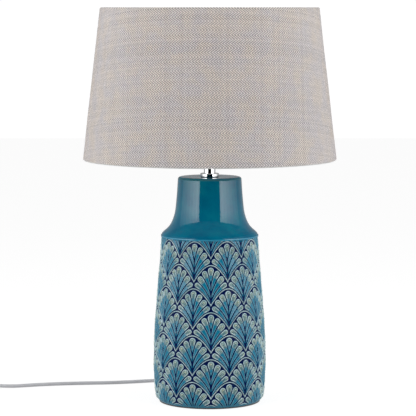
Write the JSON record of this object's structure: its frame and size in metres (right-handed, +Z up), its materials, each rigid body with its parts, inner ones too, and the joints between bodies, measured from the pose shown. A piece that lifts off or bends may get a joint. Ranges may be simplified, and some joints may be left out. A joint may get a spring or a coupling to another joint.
{
  "type": "table lamp with shade",
  "caption": "Moulded teal ceramic table lamp with a tapered drum cloth shade, screw bulb, in-line rocker switch and mains lead with plug.",
  "frame": {"origin": "centre of the base on the surface that the lamp stands on", "axes": "+Z up along the lamp's axis, -Y to the front, +Y to the cable outlet at the back"},
  "size_m": [0.7072, 0.3496, 0.5453],
  "materials": {
    "glaze": "gloss",
    "felt": "matte",
    "rubber": "matte",
    "plated_steel": "satin",
    "chrome": "polished",
    "brass": "satin",
    "holder_plastic": "satin",
    "shade_cloth": "matte",
    "liner_film": "satin",
    "white_wire": "satin",
    "bulb_shell": "satin",
    "bulb_diffuser": "satin",
    "bulb_metal": "satin",
    "black_insulator": "gloss",
    "circuit_board": "satin",
    "led_phosphor": "satin",
    "lead_jacket": "satin",
    "brown_core": "satin",
    "blue_core": "satin",
    "fitting_plastic": "satin",
    "black_sleeve": "satin",
    "tie_band": "matte"
  },
  "bodies": {
    "stand": {"ceramic_body": "glaze", "base_felt": "felt", "rubber_washer": "rubber", "steel_washer": "plated_steel", "base_nut": "plated_steel", "threaded_rod": "plated_steel", "neck_gasket": "rubber", "neck_collar": "chrome", "neck_tube": "chrome", "cable_gland": "fitting_plastic", "cable_lock": "fitting_plastic", "live_core": "brown_core", "neutral_core": "blue_core", "holder_cap": "holder_plastic", "holder_grub_screw": "plated_steel", "holder_insert": "holder_plastic", "holder_shell": "holder_plastic", "screw_shell": "brass", "centre_contact": "brass", "terminal_blocks": "brass", "terminal_screws": "plated_steel", "lower_shade_ring": "holder_plastic", "lead_lamp_side": "lead_jacket", "lead_plug_side": "lead_jacket", "lead_coil": "lead_jacket", "lead_tail": "lead_jacket", "coil_tie": "tie_band", "switch_base": "fitting_plastic", "switch_cover": "fitting_plastic", "switch_screws": "plated_steel", "switch_fixed_contacts": "brass", "switch_cord_clamps": "fitting_plastic", "switch_cores": "blue_core", "plug_body": "fitting_plastic", "pin_sleeves": "black_sleeve", "plug_pins": "plated_steel"},
    "shade": {"shade_fabric": "shade_cloth", "shade_liner": "liner_film", "shade_top_wire": "white_wire", "shade_bottom_wire": "white_wire", "spider_arms": "white_wire", "spider_ring": "white_wire"},
    "slip_washer": {"ring_washer": "holder_plastic"},
    "clamp_ring": {"upper_shade_ring": "holder_plastic"},
    "bulb_tip": {"bulb_contact": "bulb_metal"},
    "bulb": {"bulb_insulator": "black_insulator", "bulb_cap": "bulb_metal", "bulb_housing": "bulb_shell", "bulb_driver": "circuit_board", "led_board": "bulb_metal", "led_chips": "led_phosphor", "bulb_globe": "bulb_diffuser"},
    "rocker": {"switch_rocker": "fitting_plastic", "rocker_pin": "plated_steel", "rocker_contact": "brass"}
  },
  "joints": [
    {"name": "shade_turn", "type": "hinge", "parent": "stand", "child": "shade", "pos_m": [0, 0, 0.3815], "axis": [0, 0, 1], "continuous": true},
    {"name": "ring_rise", "type": "slide", "parent": "stand", "child": "slip_washer", "axis": [0, 0, 1], "range_m": [0, 0.01751]},
    {"name": "ring_turn", "type": "hinge", "parent": "slip_washer", "child": "clamp_ring", "pos_m": [0, 0, 0.3845], "axis": [0, 0, 1], "range_deg": [0, 2520]},
    {"name": "bulb_rise", "type": "slide", "parent": "stand", "child": "bulb_tip", "axis": [0, 0, 1], "range_m": [0, 0.01449]},
    {"name": "bulb_turn", "type": "hinge", "parent": "bulb_tip", "child": "bulb", "pos_m": [0, 0, 0.3955], "axis": [0, 0, 1], "range_deg": [0, 1440]},
    {"name": "rocker_tip", "type": "hinge", "parent": "stand", "child": "rocker", "pos_m": [-0.375, 0.08, 0.0146], "axis": [0, -1, 0], "range_deg": [0, 14]}
  ],
  "couplings": [
    {"joint": "ring_rise", "follows": "ring_turn", "m_per_rad": 0.00039789},
    {"joint": "bulb_rise", "follows": "bulb_turn", "m_per_rad": 0.00057614}
  ]
}
